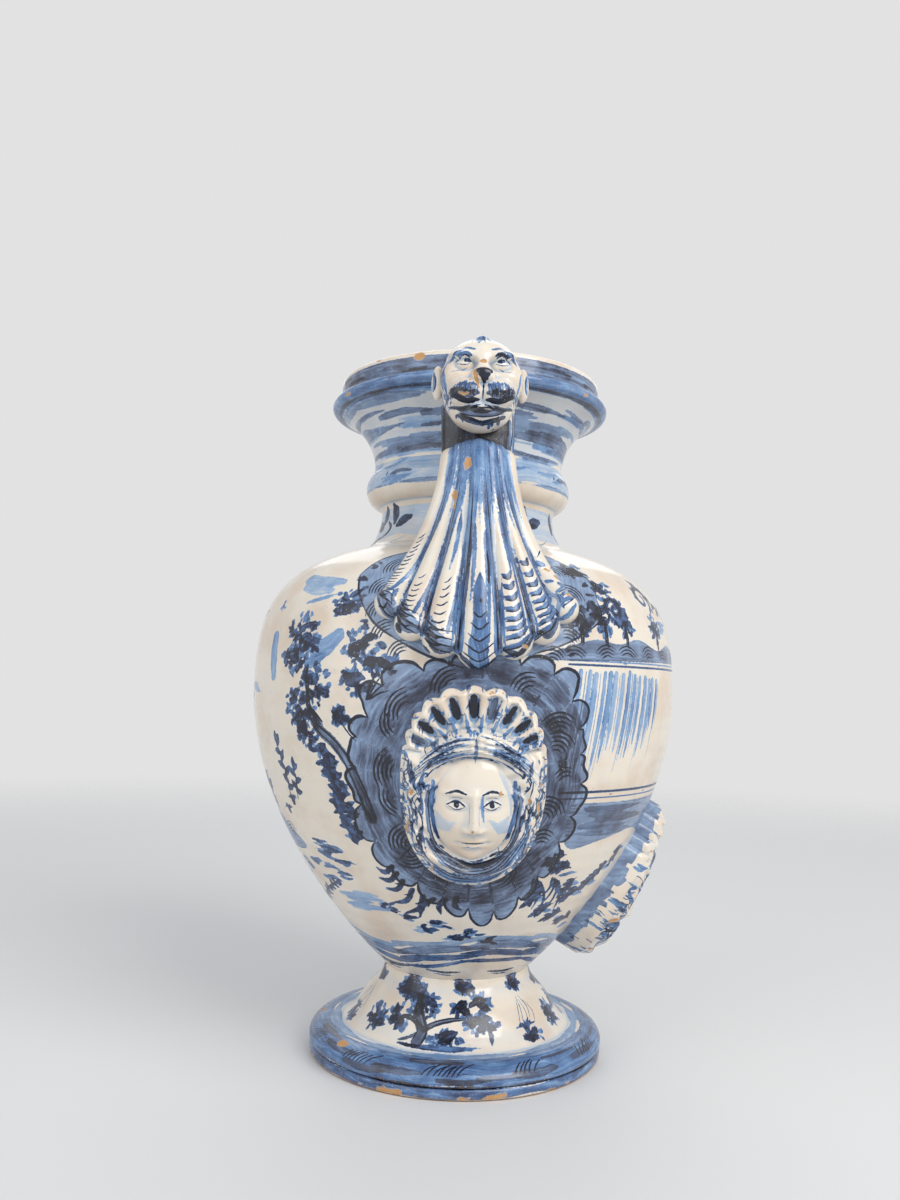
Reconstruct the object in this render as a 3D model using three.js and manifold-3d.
// Footed tin-glazed vase with a flanged mouth, two shell-and-head handles and three relief masks.
// Millimetres, +Z up, the foot stands on z = 0. The front faces -Y and the handles stand at -X and +X.
import * as THREE from "three";
import { mergeVertices } from "three/addons/utils/BufferGeometryUtils.js";
import Module from "manifold-3d";

const wasm = await Module();
wasm.setup();
const { Manifold, Mesh: SolidMesh } = wasm;

// Thrown pieces, from the table up: the rise of each, its radii and the pulls that set its curves
const standingEdgeHeight = 7.5;
const standingEdgeRadius = 107.5;
const footRollCentreRadius = 93;
const footRollHalfWidth = 15;
const footRollHalfHeight = 10;
const footRollSink = 3.5;
const coneFootInset = 9;
const footRise = 61;
const coneFlareRadius = 76;
const coneFlareHeight = 28;
const coneMidRadius = 68;
const coneMidHeight = 40;
const waistRadius = 53.9;
const waistFlare = 3.6;
const waistFlareDrop = 9;
const lowerBellyRise = 204;
const lowerBellyPull = { out: 46, up: 43, down: 86 };
const bellyRadius = 158.7;
const upperBellyRise = 103.5;
const upperBellyPull = { up: 64, out: 59, down: 16 };
const neckRadius = 66.6;
const neckFlare = 13.9;
const neckFootRadius = neckRadius + neckFlare;
const neckRise = 29.5;
const neckPull = { inward: 9, up: 3, down: 8 };
const collarRise = 34;
const collarHalfHeight = 14.5;
const collarCentreRise = 18.7;
const collarBulge = 12.6;
const throatFlare = 6.5;
const throatRadius = neckRadius + throatFlare;
const trumpetRise = 47.8;
const trumpetPull = { up: 24, inward: 17, down: 4 };
const flangeRadius = 107.5;
const flangeRollRadius = 4.2;
const rimBandRise = 16;
const rimBandRadius = 100.6;

// Walls, bores and the flat that the vase stands on
const wall = 8;
const floorThickness = 9;
const neckWall = 7.2;
const neckBoreRadius = neckRadius - neckWall;
const mouthBoreRadius = 93.8;
const standingFlatWidth = 11;
const lipRadius = 3;
const footBoreRadius = 45.4;
const footBoreFlare = { out: 2, down: 12 };
// Rings of the foot's hollow, as shares of the bore's radius and of the foot's rise
const footBoreRings = [
  { radiusShare: 1.275, heightShare: 0.6 },
  { radiusShare: 1.45, heightShare: 0.4 },
  { radiusShare: 1.74, heightShare: 0.24 },
];
const mouthBorePull = { inward: 16, down: 16, up: 24 };

// Gap that the layer of slip leaves between an applied piece and what carries it
const slipGap = 0.3;

// Handles: a pulled strap, a pressed shell on its outer face and a modelled head against the flange
const fingerGap = 27;
const strapThickness = 20;
const strapWidth = 50;
const strapRootDepth = 22;
const strapHeadDepth = 20;
const shellTopDrop = 81;
const shellTopSpacing = 6;
const shellHalfSpan = 55;
const shellDrop = 79;
const crownLobeRadius = 14;
// Each lobe's side, drop and radius as shares of the half span, the crown lobe's drop and its radius
const lobeShares = [
  [-1, 0.66, 0.75],
  [-0.745, 0.82, 0.82],
  [-0.41, 0.935, 0.89],
  [0, 1, 1],
  [0.41, 0.935, 0.89],
  [0.745, 0.82, 0.82],
  [1, 0.66, 0.75],
];
const shellLobes = lobeShares.map(([side, drop, radius]) => ({
  side: side * shellHalfSpan,
  drop: drop * shellDrop,
  radius: radius * crownLobeRadius,
}));
const shellTopRadius = 7.5;
const shellLift = 5;
const shellCrown = { atTop: 4, bulge: 27, overBelly: 12 };
const shellWing = { atTop: 4, bulge: 24, overBelly: 24 };
const shellFall = 52;
const shellSweep = { up: 32, wing: 16, inward: 0.87 };
const coreBall = { top: 6.5, belly: 9, wing: 9.5 };
const headHalfDepth = 27;
const headHalfWidth = 27.5;
const headHalfHeight = 31;
const headBite = 4.5;
const headTopDrop = 6;
// Muzzle halves, brows, nose, chin and tuft: centre, then half size, as shares of the head's halves
const headFeatures = [
  { out: 0.59, side: 0.4, up: -0.45, half: [0.52, 0.51, 0.4] },
  { out: 0.59, side: -0.4, up: -0.45, half: [0.52, 0.51, 0.4] },
  { out: 0.63, side: 0.44, up: 0.39, half: [0.33, 0.4, 0.16] },
  { out: 0.63, side: -0.44, up: 0.39, half: [0.33, 0.4, 0.16] },
  { out: 0.96, side: 0, up: -0.065, half: [0.26, 0.29, 0.226] },
  { out: 0.41, side: 0, up: -0.81, half: [0.52, 0.62, 0.29] },
  { out: 0.15, side: 0, up: 0.935, half: [0.41, 0.29, 0.16] },
];
const ear = { out: -3, stand: 0.5, up: 2, half: [6, 4.5, 11] };

// Relief masks: one mould, used three times
const maskHeight = 128;
const maskHalfWidth = 46;
const maskPlate = 4;
const maskBacking = 48;
const plateChin = 0.75;
const plateJaw = 0.4;
const plateSideShare = 0.98;
const plateTemple = 0.62;
const plateCrown = 0.64;
const faceHalfWidth = 25;
const faceHalfHeight = 33;
const faceRelief = 19;
const faceDrop = 13;
const faceSink = 2;
const nose = { out: 18, drop: 3, half: [6, 4.5, 9] };
const crestRidges = 10;
const crestRadius = 40;
const crestMargin = 4;
const crestSweep = { from: -8, to: 188 };
const crestRidge = { inner: 22, innerOut: 8, middle: 32, middleOut: 5, outerOut: 4, thin: 3.6, thick: 5.2 };
const hairBandEnd = { out: 5, side: 34, up: 17 };
const hairBandTop = { out: 19, up: 53 };
const hairBandRadius = { ends: 4.5, middle: 7.5 };
const curlCount = 11;
const curlSweep = { from: -200, to: 20 };
const curl = { out: 4, inset: 9, lowInset: 5, half: [9, 8.5, 8.5] };
const sideMaskTopAboveWidest = 2;
const sideMaskTopLift = 6;
const sideMaskTilt = 14;
const frontMaskTopBelowWidest = 84;
const frontMaskTopLift = 10;
const frontMaskTilt = 30;

// Steps of the round shapes
const turnSteps = 36;
const bellySteps = 10;
const curveSteps = 7;
const neckSteps = 4;
const strapSteps = 12;
const lobeSteps = 6;
const lobeSides = 8;
const skullSides = 12;
const skullRows = 8;
const plateSteps = 5;
const ridgeSteps = 2;
const ridgeSides = 5;
const bandSteps = 6;
const curlSides = 6;
const curlRows = 4;

// Heights of the joints between the thrown pieces
const waistHeight = footRise;
const widestHeight = waistHeight + lowerBellyRise;
const shoulderTop = widestHeight + upperBellyRise;
const neckTop = shoulderTop + neckRise;
const collarTop = neckTop + collarRise;
const flangeHeight = collarTop + trumpetRise;
const flangeTop = flangeHeight + flangeRollRadius;
const rimHeight = flangeTop + rimBandRise;

const radians = THREE.MathUtils.degToRad;
const endRingAngle = radians(45);
const at = (radius, height) => new THREE.Vector2(radius, height);

function bezier(start, pullStart, pullEnd, end, steps = curveSteps) {
  return new THREE.CubicBezierCurve(start, pullStart, pullEnd, end).getPoints(steps);
}

function ellipseArc(centre, halfWidth, halfHeight, fromDegrees, toDegrees, steps) {
  const points = [];
  for (let i = 0; i <= steps; i += 1) {
    const angle = radians(fromDegrees + ((toDegrees - fromDegrees) * i) / steps);
    points.push(at(centre.x + halfWidth * Math.cos(angle), centre.y + halfHeight * Math.sin(angle)));
  }
  return points;
}

// Moves an outline along its own normals; a positive distance widens the vase
function offsetOutline(points, distance) {
  return points.map((point, i) => {
    const before = points[Math.max(i - 1, 0)];
    const after = points[Math.min(i + 1, points.length - 1)];
    const along = after.clone().sub(before).normalize();
    return at(point.x + along.y * distance, point.y - along.x * distance);
  });
}

// Outer outlines, each from its lower joint to its upper joint
const edgeRound = 2;
const footRollCentre = at(footRollCentreRadius, standingEdgeHeight + footRollSink);
const footOutline = [
  at(standingEdgeRadius - edgeRound, 0),
  at(standingEdgeRadius, edgeRound),
  at(standingEdgeRadius, standingEdgeHeight - edgeRound),
  at(standingEdgeRadius - edgeRound, standingEdgeHeight),
  ...ellipseArc(footRollCentre, footRollHalfWidth, footRollHalfHeight, -16, 108, 7),
  ...new THREE.SplineCurve([
    at(footRollCentreRadius - coneFootInset, footRollCentre.y + footRollHalfHeight),
    at(coneFlareRadius, coneFlareHeight),
    at(coneMidRadius, coneMidHeight),
    at(waistRadius + waistFlare, waistHeight - waistFlareDrop),
    at(waistRadius, waistHeight),
  ]).getPoints(curveSteps),
];
const lowerBellyOutline = bezier(
  at(waistRadius, waistHeight),
  at(waistRadius + lowerBellyPull.out, waistHeight + lowerBellyPull.up),
  at(bellyRadius, widestHeight - lowerBellyPull.down),
  at(bellyRadius, widestHeight),
  bellySteps,
);
const upperBellyOutline = bezier(
  at(bellyRadius, widestHeight),
  at(bellyRadius, widestHeight + upperBellyPull.up),
  at(neckFootRadius + upperBellyPull.out, shoulderTop - upperBellyPull.down),
  at(neckFootRadius, shoulderTop),
  bellySteps,
);
const neckOutline = bezier(
  at(neckFootRadius, shoulderTop),
  at(neckFootRadius - neckPull.inward, shoulderTop + neckPull.up),
  at(neckRadius, neckTop - neckPull.down),
  at(neckRadius, neckTop),
  neckSteps,
);
const collarCentre = at(neckRadius, neckTop + collarCentreRise);
const collarOutline = [
  at(neckRadius, neckTop),
  ...ellipseArc(collarCentre, collarBulge, collarHalfHeight, -82, 52, curveSteps),
  at(throatRadius, collarTop),
];
const flangeCentre = at(flangeRadius - flangeRollRadius, flangeHeight);
const flangeUnderside = flangeHeight - flangeRollRadius;
const mouthOutline = [
  ...bezier(
    at(throatRadius, collarTop),
    at(throatRadius, collarTop + trumpetPull.up),
    at(flangeRadius - trumpetPull.inward, flangeUnderside - trumpetPull.down),
    at(flangeCentre.x, flangeUnderside),
  ),
  ...ellipseArc(flangeCentre, flangeRollRadius, flangeRollRadius, -45, 90, 3),
  at(rimBandRadius, flangeTop),
  ...ellipseArc(at(rimBandRadius - lipRadius, rimHeight - lipRadius), lipRadius, lipRadius, 0, 90, 2),
];
const vaseOutline = [
  ...footOutline,
  ...lowerBellyOutline.slice(1),
  ...upperBellyOutline.slice(1),
  ...neckOutline.slice(1),
  ...collarOutline.slice(1),
  ...mouthOutline.slice(1),
];

function radiusAt(height) {
  const above = vaseOutline.findIndex((point, i) => i > footOutline.length && point.y >= height);
  const high = vaseOutline[above];
  const low = vaseOutline[above - 1];
  return low.x + ((high.x - low.x) * (height - low.y)) / (high.y - low.y);
}

// A solid of revolution about +Z; the outline closes on itself or ends on the axis
function turned(outline) {
  const geometry = new THREE.LatheGeometry(outline, turnSteps);
  geometry.rotateX(Math.PI / 2);
  return geometry;
}

function ringOf(outer, inner) {
  return turned([...outer, ...inner, outer[0]]);
}

function solidOf(geometry) {
  const bare = geometry.clone();
  bare.deleteAttribute("normal");
  bare.deleteAttribute("uv");
  const merged = mergeVertices(bare, 1e-3);
  const mesh = new SolidMesh({
    numProp: 3,
    vertProperties: merged.attributes.position.array,
    triVerts: new Uint32Array(merged.index.array),
  });
  return new Manifold(mesh);
}

function geometryOf(solid) {
  const mesh = solid.getMesh();
  const geometry = new THREE.BufferGeometry();
  geometry.setAttribute("position", new THREE.BufferAttribute(mesh.vertProperties, mesh.numProp));
  geometry.setIndex(new THREE.BufferAttribute(mesh.triVerts, 1));
  const flat = geometry.toNonIndexed();
  flat.computeVertexNormals();
  return flat;
}

function union(solids) {
  return solids.reduce((joined, solid) => joined.add(solid));
}

// An ellipsoid in a piece's own frame, halves along its three axes
function ellipsoid([x, y, z], [halfX, halfY, halfZ], around = 8, down = 6) {
  const geometry = new THREE.SphereGeometry(1, around, down);
  geometry.scale(halfX, halfY, halfZ);
  geometry.translate(x, y, z);
  return solidOf(geometry);
}

// A bar along a curve, with round ends, whose radius follows radiusOf(share of its length)
function bar(curve, radiusOf, steps, sides) {
  const frames = curve.computeFrenetFrames(steps, false);
  const positions = [];
  const triangles = [];
  const addRing = (i, radius, ahead) => {
    const centre = curve.getPointAt(i / steps).addScaledVector(frames.tangents[i], ahead);
    for (let k = 0; k < sides; k += 1) {
      const angle = (2 * Math.PI * k) / sides;
      const arm = frames.normals[i].clone().multiplyScalar(Math.cos(angle) * radius);
      arm.addScaledVector(frames.binormals[i], Math.sin(angle) * radius);
      positions.push(...centre.clone().add(arm).toArray());
    }
  };
  for (let i = 0; i <= steps; i += 1) addRing(i, radiusOf(i / steps), 0);
  const endRadius = radiusOf(1);
  addRing(steps, Math.cos(endRingAngle) * endRadius, Math.sin(endRingAngle) * endRadius);
  const rings = steps + 2;
  const startCap = rings * sides;
  const endCap = startCap + 1;
  const startTip = curve.getPointAt(0).addScaledVector(frames.tangents[0], -radiusOf(0) / 2);
  const endTip = curve.getPointAt(1).addScaledVector(frames.tangents[steps], endRadius);
  positions.push(...startTip.toArray(), ...endTip.toArray());
  for (let k = 0; k < sides; k += 1) {
    const next = (k + 1) % sides;
    for (let i = 0; i < rings - 1; i += 1) {
      const a = i * sides + k;
      const b = i * sides + next;
      triangles.push(a, b, b + sides, a, b + sides, a + sides);
    }
    triangles.push(startCap, next, k);
    triangles.push(endCap, (rings - 1) * sides + k, (rings - 1) * sides + next);
  }
  const geometry = new THREE.BufferGeometry();
  geometry.setAttribute("position", new THREE.Float32BufferAttribute(positions, 3));
  geometry.setIndex(triangles);
  return solidOf(geometry);
}

// Thrown pieces
const standingFlatRadius = standingEdgeRadius - edgeRound - standingFlatWidth;
const footBore = [
  at(footBoreRadius, waistHeight),
  at(footBoreRadius + footBoreFlare.out, waistHeight - footBoreFlare.down),
  ...footBoreRings.map((ring) => at(ring.radiusShare * footBoreRadius, ring.heightShare * waistHeight)),
  at(standingFlatRadius - edgeRound, standingEdgeHeight),
  at(standingFlatRadius, 0),
];
const floorTop = waistHeight + floorThickness;
const lowerBellyInside = offsetOutline(lowerBellyOutline, -wall)
  .filter((point) => point.y > floorTop + edgeRound)
  .reverse();
const upperBellyInside = offsetOutline(upperBellyOutline, -wall)
  .filter((point) => point.x > neckBoreRadius + wall && point.y < shoulderTop - wall)
  .reverse();
const mouthInside = [
  ...ellipseArc(at(mouthBoreRadius + lipRadius, rimHeight - lipRadius), lipRadius, lipRadius, 90, 180, 2),
  at(mouthBoreRadius, flangeHeight),
  ...bezier(
    at(mouthBoreRadius - edgeRound, flangeHeight - edgeRound),
    at(mouthBoreRadius - mouthBorePull.inward, flangeHeight - mouthBorePull.down),
    at(neckBoreRadius, collarTop + mouthBorePull.up),
    at(neckBoreRadius, collarTop),
  ),
];

const footGeometry = ringOf(footOutline, footBore);
const lowerBellyGeometry = turned([
  at(0, waistHeight),
  ...lowerBellyOutline,
  at(bellyRadius - wall, widestHeight),
  ...lowerBellyInside.slice(1),
  at(lowerBellyInside.at(-1).x - wall, floorTop),
  at(0, floorTop),
]);
const upperBellyGeometry = ringOf(upperBellyOutline, [
  at(neckBoreRadius, shoulderTop),
  at(neckBoreRadius, shoulderTop - wall),
  ...upperBellyInside.slice(0, -1),
  at(bellyRadius - wall, widestHeight),
]);
const neckGeometry = ringOf(neckOutline, [at(neckBoreRadius, neckTop), at(neckBoreRadius, shoulderTop)]);
const collarGeometry = ringOf(collarOutline, [at(neckBoreRadius, collarTop), at(neckBoreRadius, neckTop)]);
const mouthGeometry = ringOf(mouthOutline, mouthInside);

// The whole outside of the vase, grown by the slip gap: what an applied piece is cut with
const slipSkin = solidOf(
  turned([at(0, -slipGap), ...offsetOutline(vaseOutline, slipGap), at(0, rimHeight + slipGap)]),
);

// Handle, built at +X: x is outward, y is sideways, z is up
const strapOut = neckRadius + collarBulge + fingerGap + strapThickness / 2;
const headCentreUp = rimHeight - headTopDrop - headHalfHeight;
const headCentreOut = flangeRadius + headHalfDepth - headBite;
const strapFoot = shoulderTop - strapRootDepth;
const strapTop = headCentreUp - headHalfHeight + strapHeadDepth;
const strapFace = strapOut + strapThickness / 2;
const shellTop = rimHeight - shellTopDrop;
const shellMiddle = (shellLobes.length - 1) / 2;

function strapSolid(grown) {
  const section = new THREE.Shape();
  section.absellipse(0, 0, strapThickness / 2 + grown, strapWidth / 2 + grown, 0, 2 * Math.PI);
  const geometry = new THREE.ExtrudeGeometry(section, {
    depth: strapTop - strapFoot + 2 * grown,
    bevelEnabled: false,
    curveSegments: strapSteps,
  });
  geometry.translate(strapOut, 0, strapFoot - grown);
  return solidOf(geometry);
}

// Distance from the vase's axis plane to its skin, at a height and a sideways place
function skinOut(side, height) {
  return Math.sqrt(radiusAt(height) ** 2 - side ** 2);
}

function shellLobe(lobe, index) {
  const place = index - shellMiddle;
  const spread = Math.abs(place) / shellMiddle;
  const blend = (key) => THREE.MathUtils.lerp(shellCrown[key], -shellWing[key], spread);
  const endUp = shoulderTop - lobe.drop;
  const endOut = skinOut(lobe.side, endUp);
  const bulge = THREE.MathUtils.lerp(shellCrown.bulge, shellCrown.bulge - shellWing.bulge, spread);
  const curve = new THREE.CubicBezierCurve3(
    new THREE.Vector3(strapFace + blend("atTop"), place * shellTopSpacing, shellTop),
    new THREE.Vector3(strapFace + bulge, place * (shellTopSpacing + 1), shellTop - shellFall),
    new THREE.Vector3(
      endOut + blend("overBelly"),
      shellSweep.inward * lobe.side,
      endUp + shellSweep.up - shellSweep.wing * spread,
    ),
    new THREE.Vector3(endOut + shellLift, lobe.side, endUp),
  );
  const radiusOf = (share) => shellTopRadius + (lobe.radius - shellTopRadius) * share ** 2;
  return bar(curve, radiusOf, lobeSteps, lobeSides);
}

// The clay under the lobes, which joins them to one another
function shellCore() {
  const ball = (x, y, z, radius) => ellipsoid([x, y, z], [radius, radius, radius]);
  const crown = shellLobes[shellMiddle];
  const crownUp = shoulderTop - crown.drop;
  const crestOut = strapFace + shellCrown.bulge - coreBall.top;
  const balls = [
    ball(skinOut(0, crownUp), 0, crownUp, coreBall.belly),
    ball(crestOut, 0, shellTop - shellFall - coreBall.wing, coreBall.top),
  ];
  for (const place of [-1, 1]) {
    const near = shellLobes[shellMiddle + place];
    const wing = shellLobes[shellMiddle + 2 * place];
    const nearUp = shoulderTop - near.drop;
    const wingUp = shoulderTop - wing.drop + coreBall.wing;
    balls.push(
      ball(strapFace, 2 * place * shellTopSpacing, shellTop, coreBall.top),
      ball(skinOut(near.side, nearUp), near.side, nearUp, coreBall.wing),
      ball(skinOut(wing.side, wingUp), wing.side, wingUp, coreBall.wing),
    );
  }
  return Manifold.hull(balls);
}

const skullCentre = [headCentreOut, 0, headCentreUp];
function skullGrown(gap) {
  const half = [headHalfDepth + gap, headHalfWidth + gap, headHalfHeight + gap];
  return ellipsoid(skullCentre, half, skullSides, skullRows);
}

function headSolid() {
  const halves = [headHalfDepth, headHalfWidth, headHalfHeight];
  const features = headFeatures.map((feature) => {
    const place = [feature.out, feature.side, feature.up].map((share, axis) => share * halves[axis]);
    const half = feature.half.map((share, axis) => share * halves[axis]);
    return ellipsoid([headCentreOut + place[0], place[1], headCentreUp + place[2]], half);
  });
  return union([skullGrown(0), ...features]);
}

function earSolid(side) {
  const centre = [headCentreOut + ear.out, side * (headHalfWidth + ear.stand), headCentreUp + ear.up];
  return ellipsoid(centre, ear.half).subtract(skullGrown(slipGap));
}

// Relief mask in its own frame: x is outward, y is sideways, z runs up the mask from its middle
function maskPlateSolid() {
  const half = maskHeight / 2;
  const side = plateSideShare * maskHalfWidth;
  const outline = new THREE.Shape();
  outline.moveTo(0, -half);
  outline.bezierCurveTo(plateChin * maskHalfWidth, -half, maskHalfWidth, -plateJaw * half, side, 0);
  outline.bezierCurveTo(maskHalfWidth, plateTemple * half, plateCrown * maskHalfWidth, half, 0, half);
  outline.bezierCurveTo(-plateCrown * maskHalfWidth, half, -maskHalfWidth, plateTemple * half, -side, 0);
  outline.bezierCurveTo(-maskHalfWidth, -plateJaw * half, -plateChin * maskHalfWidth, -half, 0, -half);
  const geometry = new THREE.ExtrudeGeometry(outline, {
    depth: maskPlate + maskBacking,
    bevelEnabled: false,
    curveSegments: plateSteps,
  });
  geometry.translate(0, 0, -maskBacking);
  geometry.rotateX(Math.PI / 2);
  geometry.rotateZ(Math.PI / 2);
  return solidOf(geometry);
}

function crestRidgeSolid(index) {
  const crestUp = maskHeight / 2 - crestRadius - crestMargin;
  const share = index / (crestRidges - 1);
  const angle = radians(THREE.MathUtils.lerp(crestSweep.from, crestSweep.to, share));
  const point = (reach, out) =>
    new THREE.Vector3(out, reach * Math.cos(angle), crestUp + reach * Math.sin(angle));
  const curve = new THREE.QuadraticBezierCurve3(
    point(crestRidge.inner, crestRidge.innerOut),
    point(crestRidge.middle, crestRidge.middleOut),
    point(crestRadius, crestRidge.outerOut),
  );
  const radiusOf = (along) => THREE.MathUtils.lerp(crestRidge.thin, crestRidge.thick, along);
  return bar(curve, radiusOf, ridgeSteps, ridgeSides);
}

function hairBandSolid() {
  const band = new THREE.QuadraticBezierCurve3(
    new THREE.Vector3(hairBandEnd.out, -hairBandEnd.side, hairBandEnd.up - faceDrop),
    new THREE.Vector3(hairBandTop.out, 0, hairBandTop.up - faceDrop),
    new THREE.Vector3(hairBandEnd.out, hairBandEnd.side, hairBandEnd.up - faceDrop),
  );
  const radiusOf = (share) =>
    THREE.MathUtils.lerp(hairBandRadius.middle, hairBandRadius.ends, Math.abs(2 * share - 1));
  return bar(band, radiusOf, bandSteps, ridgeSides);
}

function curlSolid(index) {
  const share = index / (curlCount - 1);
  const angle = radians(THREE.MathUtils.lerp(curlSweep.from, curlSweep.to, share));
  const sideReach = maskHalfWidth - curl.inset;
  const upReach = (maskHeight - faceDrop) / 2 - curl.lowInset;
  const centre = [curl.out, sideReach * Math.cos(angle), upReach * Math.sin(angle) - faceDrop / 2];
  return ellipsoid(centre, curl.half, curlSides, curlRows);
}

function maskSolid() {
  const ridges = Array.from({ length: crestRidges }, (_, index) => crestRidgeSolid(index));
  const curls = Array.from({ length: curlCount }, (_, index) => curlSolid(index));
  const face = [faceRelief, faceHalfWidth, faceHalfHeight];
  return union([
    maskPlateSolid(),
    ...ridges,
    ...curls,
    hairBandSolid(),
    ellipsoid([faceSink, 0, -faceDrop], face, skullSides, skullRows),
    ellipsoid([nose.out, 0, -faceDrop - nose.drop], nose.half, curlSides, curlRows),
  ]);
}

function placedMask(topHeight, topLift, tilt) {
  const topOut = radiusAt(topHeight) + topLift;
  const half = maskHeight / 2;
  const lean = radians(tilt);
  const centreOut = topOut - half * Math.sin(lean);
  const centreUp = topHeight - half * Math.cos(lean);
  return maskSolid().rotate([0, tilt, 0]).translate([centreOut, 0, centreUp]).subtract(slipSkin);
}

// Keeps the main body of a cut piece and drops the crumbs inside the cut
function mainBody(solid) {
  return solid.decompose().reduce((largest, body) => (body.volume() > largest.volume() ? body : largest));
}

const strapCut = strapSolid(slipGap);
const strapGeometry = geometryOf(mainBody(strapSolid(0).subtract(slipSkin)));
const shellGeometry = geometryOf(
  mainBody(union([shellCore(), ...shellLobes.map(shellLobe)]).subtract(strapCut).subtract(slipSkin)),
);
const headGeometry = geometryOf(mainBody(headSolid().subtract(strapCut).subtract(slipSkin)));
const sideMaskGeometry = geometryOf(
  mainBody(placedMask(widestHeight + sideMaskTopAboveWidest, sideMaskTopLift, sideMaskTilt)),
);
const frontMaskGeometry = geometryOf(
  mainBody(placedMask(widestHeight - frontMaskTopBelowWidest, frontMaskTopLift, frontMaskTilt)),
);

// Colours of the glaze as each piece shows it
const glaze = {
  cream: { color: 0xd8d2c6, roughness: 0.22 },
  paleBlue: { color: 0xa9bacb, roughness: 0.24 },
  midBlue: { color: 0x6d8bb0, roughness: 0.24 },
  deepBlue: { color: 0x46648f, roughness: 0.24 },
};

function piece(name, geometry, finish) {
  const material = new THREE.MeshStandardMaterial({ ...finish, metalness: 0 });
  const mesh = new THREE.Mesh(geometry, material);
  mesh.name = name;
  return mesh;
}

function handle(side, turn) {
  const group = new THREE.Group();
  group.add(
    piece(`handle_strap_${side}`, strapGeometry, glaze.deepBlue),
    piece(`handle_shell_${side}`, shellGeometry, glaze.paleBlue),
    piece(`handle_head_${side}`, headGeometry, glaze.cream),
    piece(`handle_ear_${side}_a`, geometryOf(mainBody(earSolid(-1))), glaze.cream),
    piece(`handle_ear_${side}_b`, geometryOf(mainBody(earSolid(1))), glaze.cream),
  );
  group.rotation.z = turn;
  return group;
}

function mask(name, geometry, turn) {
  const mesh = piece(name, geometry, glaze.cream);
  mesh.rotation.z = turn;
  return mesh;
}

const vase = new THREE.Group();
vase.add(
  piece("foot", footGeometry, glaze.midBlue),
  piece("belly_lower", lowerBellyGeometry, glaze.cream),
  piece("belly_upper", upperBellyGeometry, glaze.cream),
  piece("neck", neckGeometry, glaze.paleBlue),
  piece("collar_ring", collarGeometry, glaze.paleBlue),
  piece("mouth", mouthGeometry, glaze.midBlue),
  handle("right", 0),
  handle("left", Math.PI),
  mask("mask_right", sideMaskGeometry, 0),
  mask("mask_left", sideMaskGeometry, Math.PI),
  mask("mask_front", frontMaskGeometry, -Math.PI / 2),
);

export default vase;
